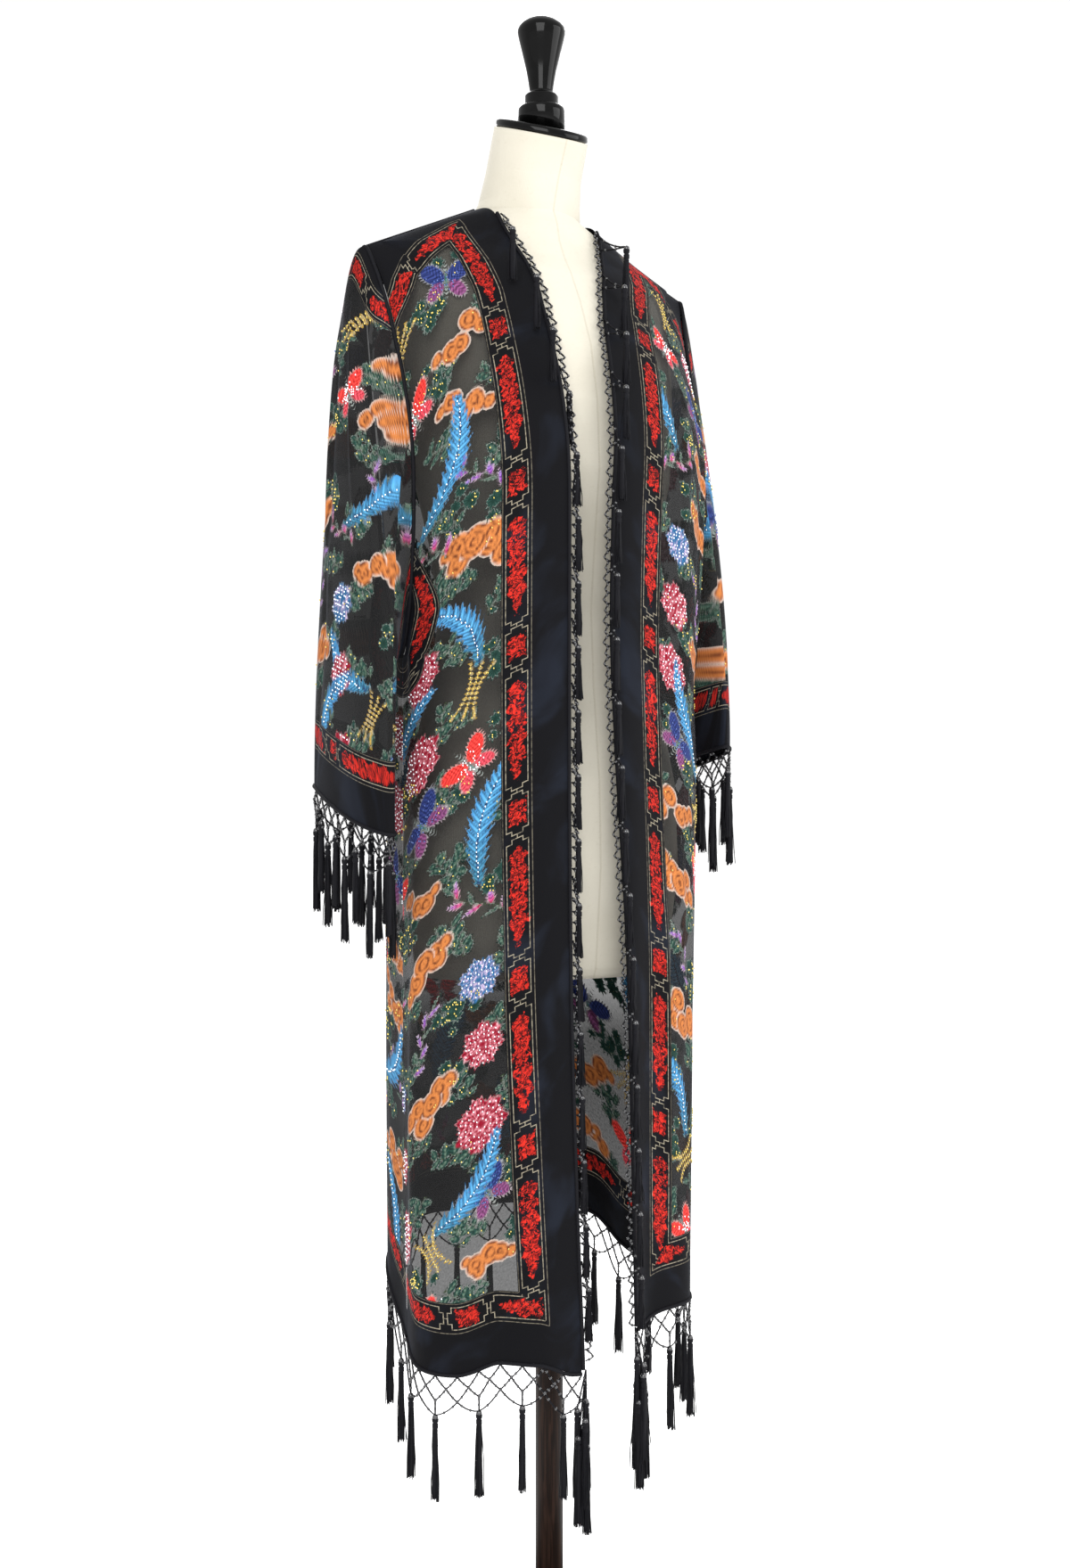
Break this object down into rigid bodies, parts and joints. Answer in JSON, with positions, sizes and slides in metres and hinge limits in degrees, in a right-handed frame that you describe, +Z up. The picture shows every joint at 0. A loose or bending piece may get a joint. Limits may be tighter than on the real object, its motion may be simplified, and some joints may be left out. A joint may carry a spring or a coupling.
{
  "type": "fringed kimono on a dress form",
  "caption": "Long open kimono jacket with wide sleeves and beaded tassel fringe, hung on a limbless dress form with a neck cap, finial and pole stand.",
  "frame": {"origin": "centre of the underside of the stand's base, on the floor", "axes": "+Z up; the garment faces -Y; the wearer's right is -X"},
  "size_m": [0.4837, 0.32, 1.7773],
  "materials": {
    "stand_black": "satin black",
    "stand_wood": "dark stained",
    "canvas": "bare canvas",
    "gloss_black": "gloss black",
    "velvet": "burn-out velvet on sheer chiffon",
    "trim": "beaded net and tassels"
  },
  "bodies": {
    "root": {"base": "stand_black", "pole_socket": "stand_black", "pole": "stand_wood", "torso": "canvas", "neck_cap": "gloss_black", "finial": "gloss_black", "front_right": "velvet", "front_left": "velvet", "back_panel": "velvet", "sleeve_right": "velvet", "sleeve_left": "velvet", "fringe_cuff_right": "trim", "fringe_cuff_left": "trim", "fringe_hem_right": "trim", "fringe_hem_left": "trim", "fringe_hem_back": "trim", "fringe_front_right": "trim", "fringe_front_left": "trim", "fringe_neck": "trim"}
  },
  "joints": []
}
